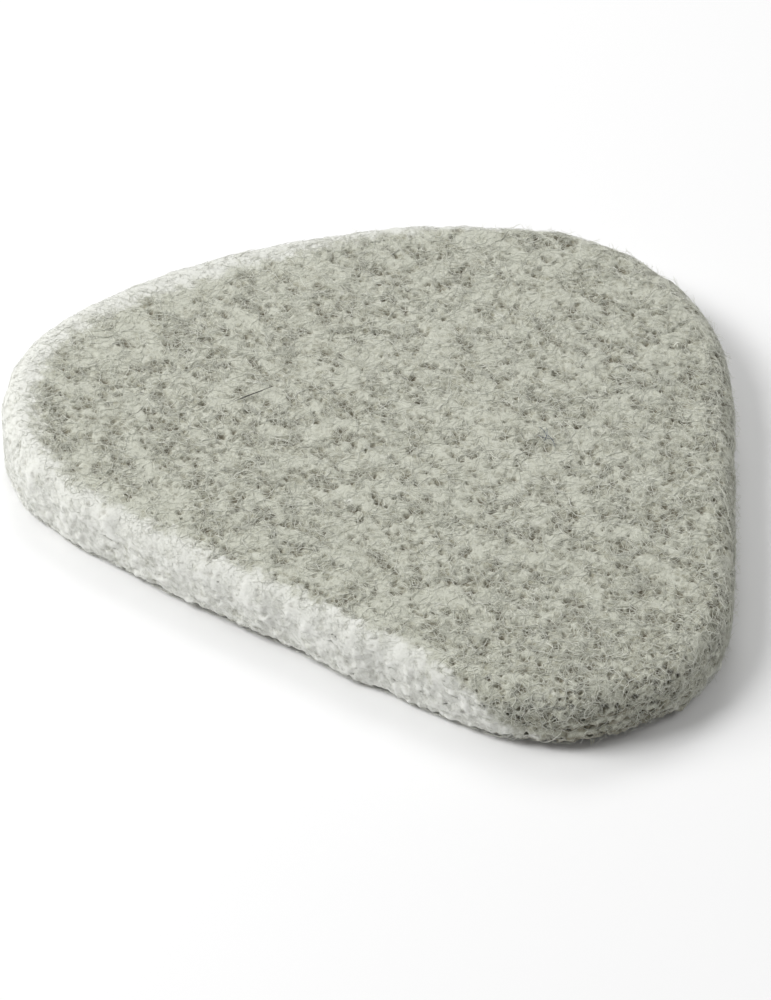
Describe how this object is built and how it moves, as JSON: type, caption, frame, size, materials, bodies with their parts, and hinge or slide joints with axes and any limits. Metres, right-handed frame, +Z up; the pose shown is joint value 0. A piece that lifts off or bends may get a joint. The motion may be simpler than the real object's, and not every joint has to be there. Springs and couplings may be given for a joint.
{
  "type": "felt dryer pad",
  "caption": "Flat rounded-triangle pad of thick needle-punched wool felt that tumbles with the laundry in a dryer.",
  "frame": {"origin": "underside of the pad, below the middle of its bounding box", "axes": "+Z up through the pad's thickness, +X along the long front side from the left corner to the right one, +Y from the front side towards the third corner"},
  "size_m": [0.0912, 0.0724, 0.0075],
  "materials": {
    "face_felt": "matte needle-punched wool felt, pale sage grey, pitted and fibrous",
    "core_felt": "matte cut edge of dense wool felt, a little paler than the faces"
  },
  "bodies": {
    "root": {"bottom_face_ply": "face_felt", "lower_core_ply": "core_felt", "middle_core_ply": "core_felt", "upper_core_ply": "core_felt", "top_face_ply": "face_felt"}
  },
  "joints": []
}
